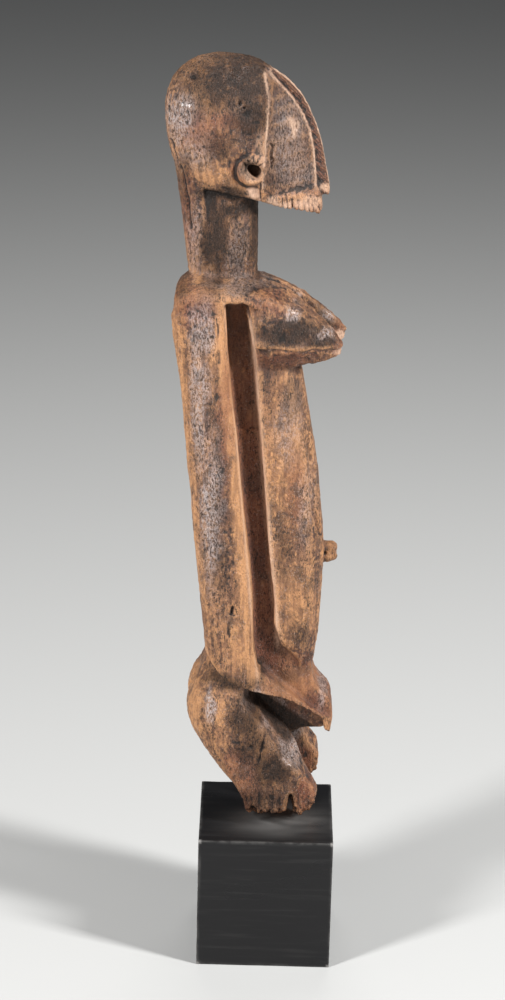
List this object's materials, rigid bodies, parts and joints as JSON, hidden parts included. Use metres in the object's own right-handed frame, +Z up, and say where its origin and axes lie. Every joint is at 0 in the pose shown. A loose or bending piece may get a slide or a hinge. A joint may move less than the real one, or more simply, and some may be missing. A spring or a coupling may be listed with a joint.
{
  "type": "carved standing figure on plinth",
  "caption": "Tall carved wooden figure of a woman with a capped, sharp-ridged face, pointed breasts and broken legs, standing on a square black wooden plinth.",
  "frame": {"origin": "middle of the plinth's underside, on the surface it stands on", "axes": "+Z up along the figure, +X the way the figure faces, +Y to its left"},
  "size_m": [0.0961, 0.076, 0.4889],
  "materials": {
    "old_wood": "old hardwood with a worn orange-brown and near-black encrusted patina, satin where handled",
    "black_stained_wood": "black stained and waxed wood, satin, edges slightly worn"
  },
  "bodies": {
    "root": {"figure": "old_wood", "plinth": "black_stained_wood"}
  },
  "joints": []
}
